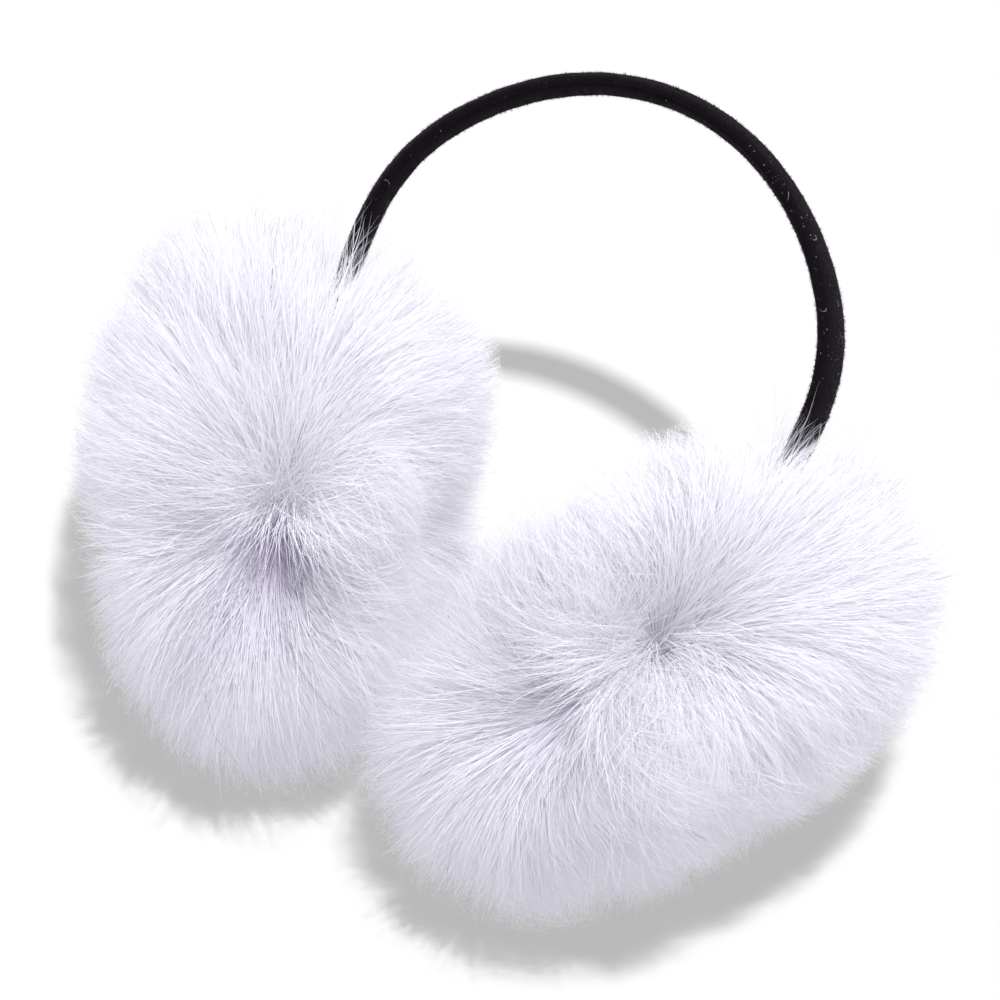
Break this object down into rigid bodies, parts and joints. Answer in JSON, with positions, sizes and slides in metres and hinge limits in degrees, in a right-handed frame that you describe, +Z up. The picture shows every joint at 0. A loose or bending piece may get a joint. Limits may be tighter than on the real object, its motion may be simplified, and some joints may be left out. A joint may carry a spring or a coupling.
{
  "type": "fur earmuffs",
  "caption": "Deep-fur ear pads on an arched, velvet-covered spring headband, resting on the pads with the arch leaning back.",
  "frame": {"origin": "on the table, under the middle of the whole object's box", "axes": "+X from the left pad to the right pad, +Y towards the crown of the headband, +Z up"},
  "size_m": [0.2424, 0.2006, 0.1282],
  "materials": {
    "black_velvet": "soft black velvet pile with a few light lint hairs",
    "pale_fur": "long dense white fur with a faint lavender cast, paler at the tips"
  },
  "bodies": {
    "root": {"headband": "black_velvet", "left_fur_pad": "pale_fur", "right_fur_pad": "pale_fur"}
  },
  "joints": []
}
